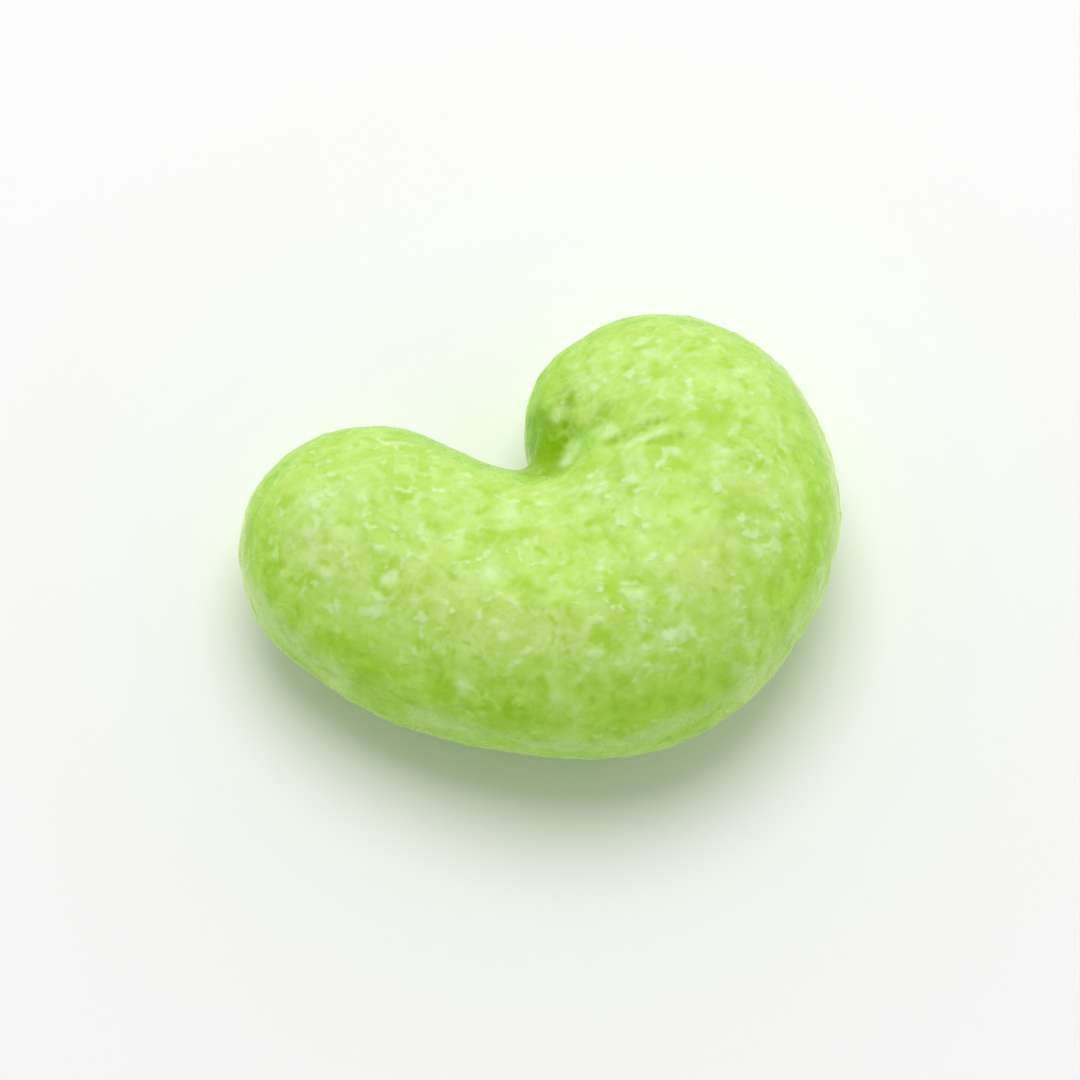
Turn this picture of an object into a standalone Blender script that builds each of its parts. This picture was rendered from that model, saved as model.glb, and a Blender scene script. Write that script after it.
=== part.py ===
"""A coated and roasted cashew nut, lying on its broad side, as one solid.

The frame is in metres with +Z up. The origin is under the middle of the nut, on the plane it lies on.
+X runs along the nut's length, towards its hooked end, and +Y towards its hollow side.
The sizes below are in millimetres.
"""

import math
from collections import namedtuple

import bmesh
import bpy
from mathutils import Matrix, Vector, noise

MM = 0.001
NUT_LENGTH = 30.0
COAT_COLOUR = (0.42, 0.68, 0.13, 1.0)
COAT_ROUGHNESS = 0.62

# The bent body, from the blunt end to the tip of the hook: its middle line seen from above,
# its half width and half thickness there, and how far its underside is off the plane.
Section = namedtuple("Section", "x y half_width half_thickness lift")
BODY = (
    Section(-8.60, -0.80, 6.65, 5.70, 0.00),
    Section(-4.70, -3.30, 6.90, 5.95, 0.20),
    Section(-0.20, -4.75, 7.15, 6.30, 0.12),
    Section(4.10, -4.25, 7.50, 6.45, 0.00),
    Section(6.80, -1.35, 7.75, 6.45, 0.16),
    Section(7.30, 1.90, 7.65, 6.20, 0.20),
    Section(6.35, 4.75, 6.98, 5.70, 0.00),
    Section(4.85, 6.20, 5.20, 4.80, 0.40),
    Section(3.15, 6.55, 4.00, 4.00, 1.10),
    Section(2.00, 5.35, 3.10, 3.20, 2.10),
)
BALLS_PER_STEP = 8
BALL_SIDES = 40
BALL_RINGS = 24
SKIN_VOXEL = 0.69
SKIN_SMOOTHING = 8
RELIEF_SMOOTHING = 2

REST_CUT = 0.14  # how much the flat spots underneath take off

RELIEF_FADE = 3.0  # height above the plane below which the relief dies away
LUMPS = ((9.0, 0.34), (4.2, 0.13))  # spacing and height of each size of lump

# The crease between the hook's tip and the body, and the fold beside it with its lip, seen from above
CREASE = ((0.7, 3.0), (1.2, 3.5), (1.8, 3.9), (2.6, 4.4), (3.4, 4.7), (4.4, 4.9))
CREASE_WIDTH = 0.9
CREASE_DEPTH = 1.1
FOLD = ((2.7, 2.3), (3.8, 2.6), (5.1, 3.0), (6.2, 3.5), (7.2, 3.9))
FOLD_WIDTH = 0.65
FOLD_DEPTH = 0.34
FOLD_LIP = 0.2

# The line where the two halves of the kernel meet, round the back of the nut, and the lip under it
SEAM_HEIGHT = 7.1
SEAM_RISE = 0.045  # how much higher the seam runs for each millimetre towards the hooked end
SEAM_WAVE = 0.4
SEAM_WAVE_SPACING = 7.0
SEAM_WIDTH = 0.95
SEAM_DEPTH = 0.19
SEAM_LIP = 0.05
SEAM_LIP_DROP = 1.6  # from the seam down to its lip, in seam widths
NOTCH = (1.0, 3.4)  # the bottom of the hollow side, seen from above
SEAM_STARTS = 7.0  # distance from the notch at which the seam begins to show
SEAM_FULL = 10.0


def clear_scene():
    for obj in list(bpy.data.objects):
        bpy.data.objects.remove(obj)


def section_at(t):
    """The section at t, which counts along BODY, on a smooth curve through its sections."""
    first = min(int(t), len(BODY) - 2)
    share = t - first
    near = [BODY[max(0, min(len(BODY) - 1, first + k))] for k in (-1, 0, 1, 2)]
    square, cube = share**2, share**3
    return Section(*(
        (2 * cube - 3 * square + 1) * b
        + (cube - 2 * square + share) * (c - a) / 2
        + (3 * square - 2 * cube) * c
        + (cube - square) * (d - b) / 2
        for a, b, c, d in zip(*near)
    ))


def ball_mesh():
    bm = bmesh.new()
    bmesh.ops.create_uvsphere(bm, u_segments=BALL_SIDES, v_segments=BALL_RINGS, radius=MM)
    mesh = bpy.data.meshes.new("ball")
    bm.to_mesh(mesh)
    bm.free()
    return mesh


def swept_body():
    """Overlapping flattened balls, close together along the body."""
    ball = ball_mesh()
    bm = bmesh.new()
    for i in range((len(BODY) - 1) * BALLS_PER_STEP + 1):
        here = section_at(i / BALLS_PER_STEP)
        centre = Vector((here.x, here.y, here.half_thickness + here.lift)) * MM
        size = Matrix.Diagonal((here.half_width, here.half_width, here.half_thickness, 1))
        placed = ball.copy()
        placed.transform(Matrix.Translation(centre) @ size)
        bm.from_mesh(placed)
        bpy.data.meshes.remove(placed)
    bpy.data.meshes.remove(ball)
    mesh = bpy.data.meshes.new("cashew_nut")
    bm.to_mesh(mesh)
    bm.free()
    return mesh


def apply_modifiers(obj):
    graph = bpy.context.evaluated_depsgraph_get()
    old = obj.data
    obj.data = bpy.data.meshes.new_from_object(obj.evaluated_get(graph))
    obj.modifiers.clear()
    bpy.data.meshes.remove(old)


def fuse_skin(nut):
    """One closed skin round the overlapping balls."""
    skin = nut.modifiers.new("one_skin", "REMESH")
    skin.mode = "VOXEL"
    skin.voxel_size = SKIN_VOXEL * MM
    soften(nut, SKIN_SMOOTHING)


def soften(nut, steps):
    soft = nut.modifiers.new("soft_skin", "SMOOTH")
    soft.iterations = steps
    apply_modifiers(nut)


def smooth_step(low, high, value):
    share = max(0.0, min(1.0, (value - low) / (high - low)))
    return share * share * (3 - 2 * share)


def bump(distance, width):
    return math.exp(-((distance / width) ** 2))


def beside(path, point):
    """Seen from above, the distance left of the path, and how far along it the point is, from 0 to 1."""
    nearest = (1e9, 0.0, 0.0)
    steps = len(path) - 1
    for i, (start, end) in enumerate(zip(path, path[1:])):
        start, run = Vector(start), Vector(end) - Vector(start)
        share = max(0.0, min(1.0, (point - start).dot(run) / run.length_squared))
        away = point - start - run * share
        side = math.copysign(away.length, run.cross(away))
        nearest = min(nearest, (away.length, side, (i + share) / steps))
    return nearest[1:]


def crease_relief(point):
    """The crease, deepest at the notch and dying away at its far end."""
    side, share = beside(CREASE, point.xy)
    return -CREASE_DEPTH * bump(side, CREASE_WIDTH) * (1 - share**2)


def fold_relief(point):
    """The fold, strongest in its middle, with a lip on the side away from the hook."""
    side, share = beside(FOLD, point.xy)
    strength = math.sin(math.pi * share)
    dip = FOLD_DEPTH * bump(side, FOLD_WIDTH)
    lip = FOLD_LIP * bump(side + 2 * FOLD_WIDTH, FOLD_WIDTH)
    return strength * (lip - dip)


def seam_relief(point):
    """The seam with its lip, only round the back, away from the notch."""
    wave = SEAM_WAVE * noise.noise(Vector((point.x, point.y, 0)) / SEAM_WAVE_SPACING)
    above = (point.z - SEAM_HEIGHT - SEAM_RISE * point.x - wave) / SEAM_WIDTH
    strength = smooth_step(SEAM_STARTS, SEAM_FULL, (point.xy - Vector(NOTCH)).length)
    return strength * (SEAM_LIP * bump(above + SEAM_LIP_DROP, 1) - SEAM_DEPTH * bump(above, 1))


def lump_relief(point):
    return sum(height * noise.noise(point / spacing) for spacing, height in LUMPS)


def raise_relief(nut):
    """Moves each point of the smooth body in or out by the height of the relief there."""
    moves = []
    for vertex in nut.data.vertices:
        point = vertex.co / MM
        height = lump_relief(point) + crease_relief(point) + fold_relief(point) + seam_relief(point)
        moves.append(vertex.normal * height * smooth_step(0, RELIEF_FADE, point.z) * MM)
    for vertex, move in zip(nut.data.vertices, moves):
        vertex.co += move


def fit_length(nut):
    """Makes the nut exactly NUT_LENGTH long and centres it over the origin."""
    corners = [Vector(corner) for corner in nut.bound_box]
    low, high = corners[0], corners[6]
    middle = Vector(((low.x + high.x) / 2, (low.y + high.y) / 2, low.z))
    size = NUT_LENGTH * MM / (high.x - low.x)
    nut.data.transform(Matrix.Scale(size, 4) @ Matrix.Translation(-middle))


def cut_flat_spots(nut):
    """Slices the three low places underneath flat, and stands the nut on them."""
    level = REST_CUT * MM
    bm = bmesh.new()
    bm.from_mesh(nut.data)
    whole = bm.verts[:] + bm.edges[:] + bm.faces[:]
    bmesh.ops.bisect_plane(bm, geom=whole, plane_co=(0, 0, level), plane_no=(0, 0, -1), clear_outer=True)
    bmesh.ops.holes_fill(bm, edges=[e for e in bm.edges if e.is_boundary])
    bmesh.ops.recalc_face_normals(bm, faces=bm.faces)
    bmesh.ops.translate(bm, verts=bm.verts, vec=(0, 0, -level))
    bm.to_mesh(nut.data)
    bm.free()


def coat_material():
    material = bpy.data.materials.new("coat")
    material.use_nodes = True
    shader = material.node_tree.nodes["Principled BSDF"]
    shader.inputs["Base Color"].default_value = COAT_COLOUR
    shader.inputs["Roughness"].default_value = COAT_ROUGHNESS
    shader.inputs["Metallic"].default_value = 0.0
    return material


def main():
    clear_scene()
    nut = bpy.data.objects.new("cashew_nut", swept_body())
    parts = bpy.data.collections.new("cashew_nut")
    bpy.context.scene.collection.children.link(parts)
    parts.objects.link(nut)
    fuse_skin(nut)
    raise_relief(nut)
    soften(nut, RELIEF_SMOOTHING)
    fit_length(nut)
    cut_flat_spots(nut)
    nut.data.shade_smooth()
    nut.data.materials.append(coat_material())


main()
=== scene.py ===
import math

import bmesh
import bpy
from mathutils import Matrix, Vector, noise


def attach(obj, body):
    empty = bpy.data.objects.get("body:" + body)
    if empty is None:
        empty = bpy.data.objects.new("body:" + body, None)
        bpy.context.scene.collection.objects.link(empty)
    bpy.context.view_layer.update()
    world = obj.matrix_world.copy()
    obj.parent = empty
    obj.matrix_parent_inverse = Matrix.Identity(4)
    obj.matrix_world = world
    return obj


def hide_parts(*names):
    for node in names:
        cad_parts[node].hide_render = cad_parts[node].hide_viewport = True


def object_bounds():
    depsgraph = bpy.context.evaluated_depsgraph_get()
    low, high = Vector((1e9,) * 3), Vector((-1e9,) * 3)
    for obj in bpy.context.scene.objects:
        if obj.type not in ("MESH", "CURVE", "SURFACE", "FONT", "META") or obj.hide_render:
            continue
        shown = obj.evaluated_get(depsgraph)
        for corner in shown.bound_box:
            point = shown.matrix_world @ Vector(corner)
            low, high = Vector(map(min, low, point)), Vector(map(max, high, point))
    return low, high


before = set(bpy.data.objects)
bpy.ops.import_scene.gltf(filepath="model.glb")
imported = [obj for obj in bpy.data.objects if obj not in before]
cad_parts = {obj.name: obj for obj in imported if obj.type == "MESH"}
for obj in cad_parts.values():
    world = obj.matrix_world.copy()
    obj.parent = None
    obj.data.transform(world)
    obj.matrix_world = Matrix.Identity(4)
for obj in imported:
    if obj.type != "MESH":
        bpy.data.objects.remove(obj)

# A roasted cashew nut in a baked green coat, on a pale floor.
# Places and sizes on the nut are in millimetres, in the frame's own axes.
mm = 0.001
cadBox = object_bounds()
print("frame loaded, CAD box", [round(side / mm, 2) for side in cadBox[1] - cadBox[0]], "mm")


# The coat's shape

coatShape = {
    "weld": 0.001,          # merge distance for the copied solid
    "quadAngle": 40,        # degrees, for pairing its triangles
    "rounding": 2,          # subdivision levels before the fine skin
    "skin": 0.158,          # spacing of the fine skin
    "softening": 3,         # rounds of smoothing on the fine skin
    # uneven baked surface: spacing, height, seed
    "unevenness": ((2.8, 0.08, 3.0), (1.2, 0.042, 17.0), (0.6, 0.025, 29.0)),
    "markDepth": 0.14,      # height or depth that colours the coat fully
    # how the relief is pushed about, and the share of that push which spots, lines and dabs take
    "warpSpacing": 1.7, "warp": 0.35, "warpSeed": 1, "markWarp": 0.5,
    # faint curved wrinkles: spacing of the lines, how thick, height, seed
    "wrinkles": ((1.9, 0.13, 0.035, 41.0), (1.4, 0.13, -0.03, 67.0)),
    "wrinklePatch": 2.4, "wrinkleSoft": 0.3,    # spacing of the patches they keep to, and how soft these are
    # small spots: spacing, width, height, share of the places that have one, seed
    "spots": (
        (1.3, 0.24, -0.05, 0.4, 5.0),           # craters where bubbles broke
        (1.0, 0.3, 0.05, 0.45, 11.0),           # grains of coating that stand proud
    ),
    "spotLeast": 0.7, "spotSpread": 0.6,        # how far their widths differ, as shares of the width
    "spotChoice": 37.0,                         # moves their centres apart, for a random number each
    "reliefStarts": 0.15, "reliefFull": 1.6,    # height above the floor where the relief fades in
    "linesStart": 3.3, "linesFull": 5.5,        # the same for the lines and dabs
    "lineFull": (0.25, 0.6),                    # shares of its length between which a line is strongest
    "paintedShadeFlankStarts": 0.93, "paintedShadeFlankFull": 0.5,      # how far the surface faces up, from top to side, for the painted shade on the flanks
    # the seam round the back: height, rise per millimetre along X, waves, width, and how much the coat
    # fills it and turns it greener with painted shade
    "seamHeight": 7.0, "seamRise": 0.045, "seamWave": 0.4, "seamWaveSpacing": 7.0,
    "seamWidth": 0.95, "seamFill": 0.09, "seamShade": 0.22,
    "notch": (1.0, 3.4), "seamStarts": 7.0, "seamFull": 10.0,    # distance from the notch where it shows
    # Lines in the coat, seen from above: points, width, height and tone.
    # A height below 0 is a groove, and a tone below 0 is greener, above 0 whiter; in the crease and fold this
    # is painted shade and painted highlight.
    "lines": (
        # fills up the crease's far end
        (((1.5, 3.9), (2.6, 4.5), (3.6, 4.9), (5.0, 5.1)), 0.9, 0.32, 0.0),
        # the crease, darkened with painted shade, and the whitish streak beside it, a painted highlight on
        # its lit wall
        (((0.2, 1.9), (0.6, 2.7), (1.0, 3.4), (1.5, 4.0), (2.3, 4.4), (3.6, 4.7)), 0.34, -0.03, -0.7),
        (((1.15, 2.0), (1.3, 2.6), (1.6, 3.1), (2.0, 3.5), (2.9, 3.8)), 0.40, 0.05, 0.85),
        # the fold with painted shade, its pale lip with a painted highlight, and a shorter fold along the lip
        # with painted shade
        (((2.7, 2.3), (3.5, 2.65), (4.45, 2.95), (5.4, 3.4), (6.3, 3.7), (7.1, 4.1)), 0.42, -0.025, -0.5),
        (((3.7, 1.95), (4.45, 2.2), (5.55, 2.65), (6.65, 2.85), (7.8, 2.65)), 0.34, 0.05, 0.6),
        (((5.0, 2.1), (5.7, 2.3), (6.6, 2.4), (7.9, 2.45)), 0.42, -0.03, -0.7),
    ),
    # Places on the coat, seen from above: x, y, reach and tone, as for the lines
    "dabs": (
        # the dark tip of the hook, greener and partly painted shade, with a few pale specks
        (-0.4, 5.2, 1.1, -0.9), (-0.3, 4.3, 1.2, -1.2), (0.2, 3.2, 1.3, -1.3), (0.9, 3.4, 0.8, -0.9),
        (1.3, 4.3, 0.9, -0.75), (1.45, 5.9, 0.9, -0.6), (3.2, 4.5, 0.8, -0.5), (4.9, 5.7, 0.9, -0.3),
        (0.9, 5.15, 0.5, 0.55), (3.25, 3.45, 0.5, 0.9), (2.4, 7.0, 0.8, 0.4),
        # pale dabs; the broad ones on the left lobe and the lower right are painted light
        (5.5, 7.9, 0.5, 0.8), (-7.3, -4.6, 0.5, 0.9), (-2.5, -4.75, 0.5, 0.8), (5.0, -2.85, 0.5, 0.8),
        (6.3, -7.7, 0.45, 0.9), (6.5, -5.7, 0.4, 0.8), (-11.6, -6.2, 0.5, 0.4), (-8.6, -0.1, 0.6, 0.6),
        (-1.5, -1.4, 0.6, 0.7), (-3.8, -9.4, 0.5, 0.6), (11.5, -3.7, 0.6, 0.5), (-9.0, -0.8, 3.5, 0.25),
        (10.2, -7.6, 2.2, 0.4),
        # greener dabs
        (-0.4, -6.2, 1.0, -0.35), (-11.8, -2.1, 0.8, -0.3), (4.6, -4.5, 0.9, -0.3), (7.9, -0.2, 0.8, -0.3),
    ),
}


def smoothStep(low, high, value):
    share = max(0.0, min(1.0, (value - low) / (high - low)))
    return share * share * (3 - 2 * share)


def bell(distance, width):
    return math.exp(-((distance / width) ** 2))


def besideLine(points, place):
    # how far from the line the place is, and how far along, from 0 to 1
    nearest = (math.inf, 0.0)
    for i, (start, end) in enumerate(zip(points, points[1:])):
        start, run = Vector(start), Vector(end) - Vector(start)
        share = max(0.0, min(1.0, (place - start).dot(run) / run.length_squared))
        away = (place - start - run * share).length
        nearest = min(nearest, (away, (i + share) / (len(points) - 1)))
    return nearest


def spot(place, spacing, width, share, seed, settings):
    # 1 at the middle of a scattered spot, 0 away from it
    distances, centres = noise.voronoi(place / spacing + Vector((seed, seed, seed)))
    chosen = noise.cell(centres[0] * settings["spotChoice"]) * 0.5 + 0.5    # each centre's own, from 0 to 1
    if chosen >= share:
        return 0.0
    return bell(distances[0] * spacing, width * (settings["spotLeast"] + settings["spotSpread"] * chosen))


def wrinkle(place, spacing, thick, seed, settings):
    # 1 along a wandering line, 0 beside it, and only in some patches
    line = bell(noise.noise(place / spacing + Vector((seed, 0, 0))), thick)
    patch = noise.noise(place / settings["wrinklePatch"] + Vector((0, seed, 0)))
    return line * smoothStep(0.0, settings["wrinkleSoft"], patch)


def linesAndDabs(place, settings):
    # height, greener and whiter, from the lines and dabs seen from above; partly painted shade and painted
    # highlight
    height = greenAndShade = whiteAndHighlight = 0.0
    upper = smoothStep(settings["linesStart"], settings["linesFull"], place.z)
    if not upper:
        return height, greenAndShade, whiteAndHighlight
    for points, width, rise, tone in settings["lines"]:
        away, along = besideLine(points, place.xy)
        ends = smoothStep(0, settings["lineFull"][0], along) * smoothStep(1, settings["lineFull"][1], along)
        strength = bell(away, width) * ends * upper
        height += rise * strength
        greenAndShade = max(greenAndShade, -tone * strength)
        whiteAndHighlight = max(whiteAndHighlight, tone * strength)
    for x, y, reach, tone in settings["dabs"]:
        strength = bell((place.xy - Vector((x, y))).length, reach) * upper
        greenAndShade = max(greenAndShade, -tone * strength)
        whiteAndHighlight = max(whiteAndHighlight, tone * strength)
    return height, greenAndShade, whiteAndHighlight


def seamLine(place, settings):
    # 1 along the seam, 0 away from it and near the notch
    wave = noise.noise(Vector((place.x, place.y, 0)) / settings["seamWaveSpacing"]) * settings["seamWave"]
    above = place.z - settings["seamHeight"] - settings["seamRise"] * place.x - wave
    away = (place.xy - Vector(settings["notch"])).length
    return smoothStep(settings["seamStarts"], settings["seamFull"], away) * bell(above, settings["seamWidth"])


def finerSkin(settings):
    # the solid's own surface, rounded and remade on a fine even grid
    bm = bmesh.new()
    bm.from_mesh(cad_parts["cashew_nut"].data)
    bmesh.ops.remove_doubles(bm, verts=bm.verts, dist=settings["weld"] * mm)
    angle = math.radians(settings["quadAngle"])
    bmesh.ops.join_triangles(bm, faces=bm.faces, angle_face_threshold=angle, angle_shape_threshold=angle)
    mesh = bpy.data.meshes.new("nut_coat")
    bm.to_mesh(mesh)
    bm.free()
    skin = bpy.data.objects.new("nut_coat", mesh)
    bpy.context.scene.collection.objects.link(skin)
    rounding = skin.modifiers.new("rounding", "SUBSURF")
    rounding.levels = rounding.render_levels = settings["rounding"]
    grid = skin.modifiers.new("grid", "REMESH")
    grid.mode = "VOXEL"
    grid.voxel_size = settings["skin"] * mm
    soft = skin.modifiers.new("soft", "SMOOTH")
    soft.iterations = settings["softening"]
    graph = bpy.context.evaluated_depsgraph_get()
    skin.data = bpy.data.meshes.new_from_object(skin.evaluated_get(graph))
    skin.modifiers.clear()
    return skin


def raiseRelief(bm, settings):
    # moves each point in or out, and keeps what the colours follow
    noise.seed_set(settings["warpSeed"])    # or noise_vector would start from the clock
    marks = {name: bm.verts.layers.float.new(name) for name in ("dip", "lip", "greenAndShade", "whiteAndHighlight", "paintedShadeFlank")}
    moves = []
    for vert in bm.verts:
        place = vert.co / mm
        drift = noise.noise_vector(place / settings["warpSpacing"]) * settings["warp"]
        markPlace = place + drift * settings["markWarp"]
        height = 0.0
        for spacing, amount, seed in settings["unevenness"]:
            height += amount * noise.noise((place + drift) / spacing + Vector((seed, 0, 0)))
        for spacing, width, amount, share, seed in settings["spots"]:
            height += amount * spot(markPlace, spacing, width, share, seed, settings)
        for spacing, thick, amount, seed in settings["wrinkles"]:
            height += amount * wrinkle(place + drift, spacing, thick, seed, settings)
        lineHeight, greenAndShade, whiteAndHighlight = linesAndDabs(markPlace, settings)
        seam = seamLine(place, settings)
        height += settings["seamFill"] * seam
        # painted shade and highlight in part: dip darkens the hollows of the relief, lip pales its raised
        # parts
        vert[marks["dip"]] = max(0.0, -height / settings["markDepth"])
        vert[marks["lip"]] = max(0.0, height / settings["markDepth"])
        # painted shade in part: the crease, the fold, the hook's tip and the seam are painted darker green
        vert[marks["greenAndShade"]] = max(greenAndShade, settings["seamShade"] * seam)
        # painted highlight in part: the streak beside the crease, the fold's lip and the broad pale dabs
        vert[marks["whiteAndHighlight"]] = whiteAndHighlight
        # painted shade: 0 where the surface faces up, 1 on the flanks and underside
        vert[marks["paintedShadeFlank"]] = 1 - smoothStep(settings["paintedShadeFlankFull"], settings["paintedShadeFlankStarts"], vert.normal.z)
        height += lineHeight
        height *= smoothStep(settings["reliefStarts"], settings["reliefFull"], place.z)
        moves.append(vert.normal * height * mm)
    for vert, move in zip(bm.verts, moves):
        vert.co += move


def fitCadBox(bm):
    # the finished coat fills the solid's own box exactly, and stands on the same plane
    low = Vector([min(v.co[i] for v in bm.verts) for i in range(3)])
    high = Vector([max(v.co[i] for v in bm.verts) for i in range(3)])
    target = cadBox[1] - cadBox[0]
    for vert in bm.verts:
        vert.co = Vector(cadBox[0][i] + (vert.co[i] - low[i]) * target[i] / (high[i] - low[i])
                         for i in range(3))


def makeCoat(settings):
    skin = finerSkin(settings)
    bm = bmesh.new()
    bm.from_mesh(skin.data)
    raiseRelief(bm, settings)
    fitCadBox(bm)
    bm.to_mesh(skin.data)
    bm.free()
    skin.data.shade_smooth()
    return skin


# The coat's finish

coatLook = {
    # deep is the darkest green, also used for the painted shade
    "deep": (0.250, 0.478, 0.0),
    "leaf": (0.415, 0.672, 0.050),
    "base": (0.560, 0.788, 0.180),
    "pale": (0.645, 0.865, 0.310),
    "fleck": (0.715, 0.925, 0.475),
    # painted shade on the flanks and underside, darker and greener
    "paintedShadeFlankTint": (0.73, 0.930, 0.33),
    "grainTint": (0.97, 0.98, 0.94),
    "warpSize": 0.9, "warp": 0.25,      # how the patterns are pushed about: spacing and reach
    # blotches and specks: tone, size, how rare, how soft, strength, and size of the patches they gather in
    "layers": (
        ("leaf", 4.5, 0.38, 0.30, 0.50, None),
        ("leaf", 1.3, 0.46, 0.25, 0.80, None),
        ("pale", 1.3, 0.48, 0.22, 0.60, None),
        ("leaf", 0.62, 0.53, 0.18, 0.80, 2.6),
        ("fleck", 1.0, 0.55, 0.20, 0.80, 2.6),
        ("fleck", 0.60, 0.54, 0.18, 0.80, 2.0),
    ),
    # soft pale ridges, broken up along their length: tone, size, how thick, strength, and size of the breaks
    "ridges": (("pale", 2.4, 0.10, 0.5, 1.1), ("fleck", 1.6, 0.08, 0.3, 0.9)),
    # where in their noise the patches start and are full
    "layerPatch": (0.42, 0.60), "ridgePatch": (0.45, 0.62),
    # marks kept with the shape, partly painted shade and painted highlight: name, where it starts and is
    # full, tone, strength, ragged edge or not
    "marks": (
        ("dip", 0.1, 0.9, "leaf", 0.6, False),
        ("lip", 0.15, 0.9, "fleck", 0.4, False),
        ("greenAndShade", 0.0, 0.95, "deep", 1.0, True),
        ("whiteAndHighlight", 0.0, 1.0, "fleck", 0.75, True),
    ),
    "edgeSize": 0.7, "edgeBreak": 0.5,      # how the ragged edges break up
    "grainSize": 0.22, "grainPatch": (0.6, 0.4),            # the grain is tinted where its noise is low
    "bump": 0.045, "grainRise": 0.15, "fleckRise": 0.8,     # and what share of it the grain and flecks take
    "roughness": 0.33, "roughnessRange": 0.08,
    "specular": 0.35, "specularTint": (0.55, 0.9, 0.15),
    "sheen": 1.0, "sheenRoughness": 0.25, "sheenTint": (0.86, 1.0, 0.48),
    # how much finer noise each pattern has in it; patchDetail is also for the ridges and the warp
    "layerDetail": 1.2, "patchDetail": 1.0, "edgeDetail": 2.0, "grainDetail": 3.0,
    # how far each pattern is moved in the noise, and further for each layer, so that no two are alike
    "shifts": {
        "layer": ((0.0, 7.3, 0.0), (3.1, 0.0, 5.2)),
        "layerPatch": ((9.4, 0.0, 2.0), (0.0, 4.7, 0.0)),
        "ridge": ((6.6, 0.0, 8.8), (0.0, 2.2, 0.0)),
        "ridgePatch": ((1.7, 5.9, 0.0), (0.0, 0.0, 3.3)),
        "edge": ((2.0, 8.0, 4.0), (0.0, 0.0, 0.0)),
        "grain": ((5.0, 2.0, 9.0), (0.0, 0.0, 0.0)),
    },
    "noiseMiddle": 0.5, "noiseRange": (0.3, 0.7),       # most of a noise pattern lies in this range
}


def link(tree, fromSocket, toSocket):
    tree.links.new(fromSocket, toSocket)


def noiseNode(tree, place, size, detail):
    # size is the pattern's spacing in millimetres
    node = tree.nodes.new("ShaderNodeTexNoise")
    node.inputs["Scale"].default_value = 1 / size
    node.inputs["Detail"].default_value = detail
    link(tree, place, node.inputs["Vector"])
    return node


def remap(tree, value, low, high, start=0.0, end=1.0, curve="SMOOTHSTEP"):
    node = tree.nodes.new("ShaderNodeMapRange")
    node.interpolation_type = curve
    for name, amount in (("From Min", low), ("From Max", high), ("To Min", start), ("To Max", end)):
        node.inputs[name].default_value = amount
    link(tree, value, node.inputs["Value"])
    return node.outputs["Result"]


def combine(tree, operation, first, second):
    node = tree.nodes.new("ShaderNodeMath")
    node.operation = operation
    for socket, value in zip(node.inputs, (first, second)):
        if isinstance(value, float):
            socket.default_value = value
        else:
            link(tree, value, socket)
    return node.outputs[0]


def mixColour(tree, mask, under, over, blend="MIX"):
    # over is laid on under where the mask is 1
    node = tree.nodes.new("ShaderNodeMix")
    node.data_type = "RGBA"
    node.blend_type = blend
    sockets = [socket for socket in node.inputs if socket.type == "RGBA"]
    for socket, value in zip(sockets, (under, over)):
        if isinstance(value, tuple):
            socket.default_value = (*value, 1.0)
        else:
            link(tree, value, socket)
    link(tree, mask, node.inputs["Factor"])
    return next(socket for socket in node.outputs if socket.type == "RGBA")


def attribute(tree, name):
    node = tree.nodes.new("ShaderNodeAttribute")
    node.attribute_name = name
    return node.outputs["Fac"]


def shifted(tree, place, offset, scale=1.0):
    node = tree.nodes.new("ShaderNodeMapping")
    node.inputs["Location"].default_value = offset
    node.inputs["Scale"].default_value = (scale, scale, scale)
    link(tree, place, node.inputs["Vector"])
    return node.outputs["Vector"]


def warped(tree, place, look):
    # pushes the patterns about, along each axis by between 0 and the warp
    push = tree.nodes.new("ShaderNodeVectorMath")
    push.operation = "MULTIPLY_ADD"
    link(tree, noiseNode(tree, place, look["warpSize"], look["patchDetail"]).outputs["Color"], push.inputs[0])
    push.inputs[1].default_value = (look["warp"], look["warp"], look["warp"])
    link(tree, place, push.inputs[2])
    return push.outputs[0]


def pattern(tree, place, look, kind, size, detail, layer=0):
    # a noise pattern with its own shift
    start, step = look["shifts"][kind]
    offset = [a + b * layer for a, b in zip(start, step)]
    return noiseNode(tree, shifted(tree, place, offset), size, detail).outputs["Fac"]


def mottling(tree, place, look):
    # the coat's colour with its blotches and flecks, and how far the flecks stand proud
    colour = look["base"]
    rise = None
    for i, (tone, size, rare, soft, strength, patch) in enumerate(look["layers"]):
        blotch = pattern(tree, place, look, "layer", size, look["layerDetail"], i)
        mask = combine(tree, "MULTIPLY", remap(tree, blotch, rare, rare + soft), strength)
        if patch:
            where = pattern(tree, place, look, "layerPatch", patch, look["patchDetail"], i)
            mask = combine(tree, "MULTIPLY", mask, remap(tree, where, *look["layerPatch"]))
        colour = mixColour(tree, mask, colour, look[tone])
        if tone == "fleck":
            raised = combine(tree, "MULTIPLY", mask, look["fleckRise"])
            rise = combine(tree, "ADD", rise, raised) if rise else raised
    return colour, rise


def paleRidges(tree, place, look, colour):
    # a soft line where a noise pattern crosses its middle
    middle = look["noiseMiddle"]
    for i, (tone, size, thick, strength, patch) in enumerate(look["ridges"]):
        hills = pattern(tree, place, look, "ridge", size, look["patchDetail"], i)
        crest = remap(tree, combine(tree, "PINGPONG", hills, middle), middle - thick, middle)
        where = pattern(tree, place, look, "ridgePatch", patch, look["patchDetail"], i)
        mask = combine(tree, "MULTIPLY", combine(tree, "MULTIPLY", crest, strength),
                       remap(tree, where, *look["ridgePatch"]))
        colour = mixColour(tree, mask, colour, look[tone])
    return colour


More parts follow.
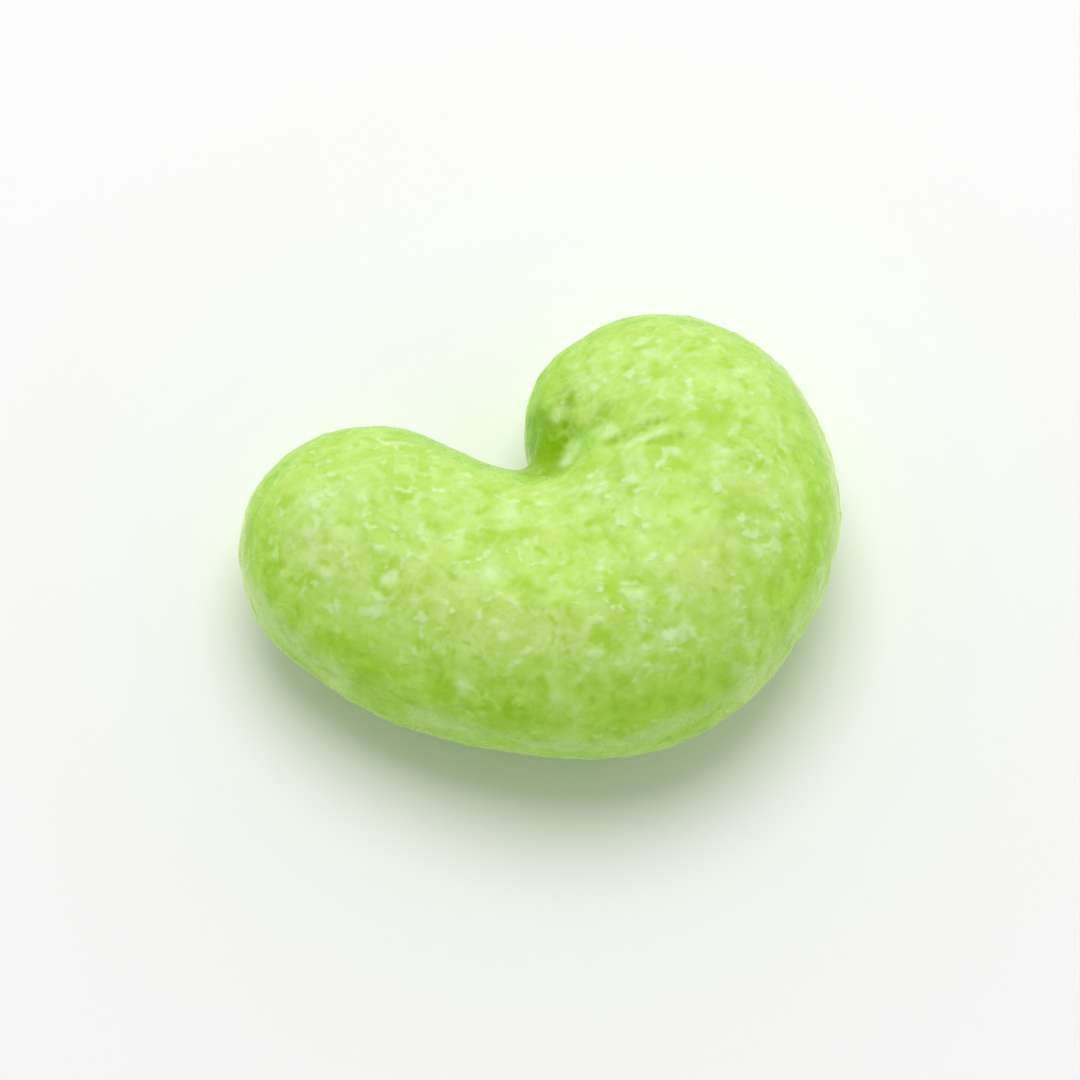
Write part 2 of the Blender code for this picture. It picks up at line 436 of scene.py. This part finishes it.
def raggedEdge(tree, place, look, mark):
    # nothing is added where the mark is 0
    swing = remap(tree, pattern(tree, place, look, "edge", look["edgeSize"], look["edgeDetail"]),
                  *look["noiseRange"], 1 - look["edgeBreak"], 1 + look["edgeBreak"])
    return combine(tree, "MULTIPLY", mark, swing)


def markings(tree, place, look, colour):
    # what the relief, the seam, the lines and the dabs do to the colour, with painted shade and painted
    # highlights
    for name, low, high, tone, strength, ragged in look["marks"]:
        mark = attribute(tree, name)
        if ragged:
            mark = raggedEdge(tree, place, look, mark)
        mask = combine(tree, "MULTIPLY", remap(tree, mark, low, high), strength)
        colour = mixColour(tree, mask, colour, look[tone])
    return colour


def coatMaterial(look):
    material = bpy.data.materials.new("baked_green_coat")
    material.use_nodes = True
    tree = material.node_tree
    shader = tree.nodes["Principled BSDF"]
    coords = tree.nodes.new("ShaderNodeTexCoord")
    place = warped(tree, shifted(tree, coords.outputs["Object"], (0, 0, 0), 1 / mm), look)

    colour, rise = mottling(tree, place, look)
    colour = paleRidges(tree, place, look, colour)
    # painted shade: the flanks and underside are darker and greener
    colour = mixColour(tree, attribute(tree, "paintedShadeFlank"), colour, look["paintedShadeFlankTint"], "MULTIPLY")
    colour = markings(tree, place, look, colour)
    grain = pattern(tree, place, look, "grain", look["grainSize"], look["grainDetail"])
    colour = mixColour(tree, remap(tree, grain, *look["grainPatch"]), colour, look["grainTint"], "MULTIPLY")
    link(tree, colour, shader.inputs["Base Color"])

    smoother, rougher = look["roughness"] - look["roughnessRange"], look["roughness"] + look["roughnessRange"]
    link(tree, remap(tree, grain, *look["noiseRange"], smoother, rougher), shader.inputs["Roughness"])
    bump = tree.nodes.new("ShaderNodeBump")
    bump.inputs["Distance"].default_value = look["bump"] * mm
    rise = combine(tree, "ADD", rise, combine(tree, "MULTIPLY", grain, look["grainRise"]))
    link(tree, rise, bump.inputs["Height"])
    link(tree, bump.outputs["Normal"], shader.inputs["Normal"])
    shader.inputs["Specular IOR Level"].default_value = look["specular"]
    shader.inputs["Specular Tint"].default_value = (*look["specularTint"], 1.0)
    shader.inputs["Sheen Weight"].default_value = look["sheen"]
    shader.inputs["Sheen Roughness"].default_value = look["sheenRoughness"]
    shader.inputs["Sheen Tint"].default_value = (*look["sheenTint"], 1.0)
    return material


coat = makeCoat(coatShape)
coat.data.materials.append(coatMaterial(coatLook))
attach(coat, "root")
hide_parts("cashew_nut")
print("coat made,", sum(len(face.vertices) - 2 for face in coat.data.polygons), "triangles")


# Floor, light and camera, in metres from here on

studio = {
    "floorRadius": 2.5, "floorSides": 96, "floorDrop": 0.02 * mm,
    "floorColour": (0.98, 0.98, 0.98), "floorRoughness": 0.6, "floorSpecular": 0.2,
    "keyFrom": (0.00, 0.14, 0.47), "keySize": 0.36, "keyPower": 1.335,
    "fillFrom": (0.30, -0.22, 0.36), "fillSize": 0.5, "fillPower": 0.1,
    "overhead": 0.14, "horizon": 1.13, "front": 0.68, "back": 1.32,     # brightness of the room
    # the view: its width at the nut, and how far below the nut's middle it aims
    "viewAzimuth": 0.0, "viewElevation": 68.0, "viewDistance": 0.45, "viewWidth": 0.0536, "aimLower": 0.00055,
    "viewClip": (0.01, 10.0),
}


def makeFloor(settings):
    bm = bmesh.new()
    bmesh.ops.create_circle(bm, cap_ends=True, segments=settings["floorSides"],
                            radius=settings["floorRadius"])
    bmesh.ops.translate(bm, verts=bm.verts, vec=(0, 0, -settings["floorDrop"]))
    mesh = bpy.data.meshes.new("floor")
    bm.to_mesh(mesh)
    bm.free()
    floor = bpy.data.objects.new("floor", mesh)
    bpy.context.scene.collection.objects.link(floor)
    material = bpy.data.materials.new("pale_floor")
    material.use_nodes = True
    shader = material.node_tree.nodes["Principled BSDF"]
    shader.inputs["Base Color"].default_value = (*settings["floorColour"], 1.0)
    shader.inputs["Roughness"].default_value = settings["floorRoughness"]
    shader.inputs["Specular IOR Level"].default_value = settings["floorSpecular"]
    floor.data.materials.append(material)


def softLight(name, source, size, power):
    lamp = bpy.data.lights.new(name, "AREA")
    lamp.shape = "DISK"
    lamp.size = size
    lamp.energy = power
    light = bpy.data.objects.new(name, lamp)
    light.location = source
    light.rotation_euler = (-Vector(source)).to_track_quat("-Z", "Y").to_euler()
    bpy.context.scene.collection.objects.link(light)


def makeSurround(settings):
    # a white room, brighter low down and behind the nut, which lights the nut's edges
    world = bpy.data.worlds.new("studio")
    world.use_nodes = True
    tree = world.node_tree
    coords = tree.nodes.new("ShaderNodeTexCoord")
    split = tree.nodes.new("ShaderNodeSeparateXYZ")
    link(tree, coords.outputs["Generated"], split.inputs[0])
    room = tree.nodes["Background"]
    room.inputs["Color"].default_value = (1.0, 1.0, 1.0, 1.0)
    byHeight = remap(tree, split.outputs["Z"], 0, 1, settings["horizon"], settings["overhead"], "LINEAR")
    byDepth = remap(tree, split.outputs["Y"], -1, 1, settings["front"], settings["back"])
    link(tree, combine(tree, "MULTIPLY", byHeight, byDepth), room.inputs["Strength"])
    bpy.context.scene.world = world


def makeCamera(settings):
    lens = bpy.data.cameras.new("camera")
    lens.lens = lens.sensor_width * settings["viewDistance"] / settings["viewWidth"]
    lens.clip_start, lens.clip_end = settings["viewClip"]
    camera = bpy.data.objects.new("camera", lens)
    azimuth, elevation = math.radians(settings["viewAzimuth"]), math.radians(settings["viewElevation"])
    back = Vector((math.sin(azimuth) * math.cos(elevation), -math.cos(azimuth) * math.cos(elevation),
                   math.sin(elevation)))
    turn = (-back).to_track_quat("-Z", "Y")
    aim = (cadBox[0] + cadBox[1]) / 2 - turn @ Vector((0, settings["aimLower"], 0))
    camera.location = aim + back * settings["viewDistance"]
    camera.rotation_euler = turn.to_euler()
    bpy.context.scene.collection.objects.link(camera)
    bpy.context.scene.camera = camera


makeFloor(studio)
softLight("key", studio["keyFrom"], studio["keySize"], studio["keyPower"])
softLight("fill", studio["fillFrom"], studio["fillSize"], studio["fillPower"])
makeSurround(studio)
makeCamera(studio)
bpy.context.scene.view_settings.view_transform = "Standard"
print("floor, lights and camera set")
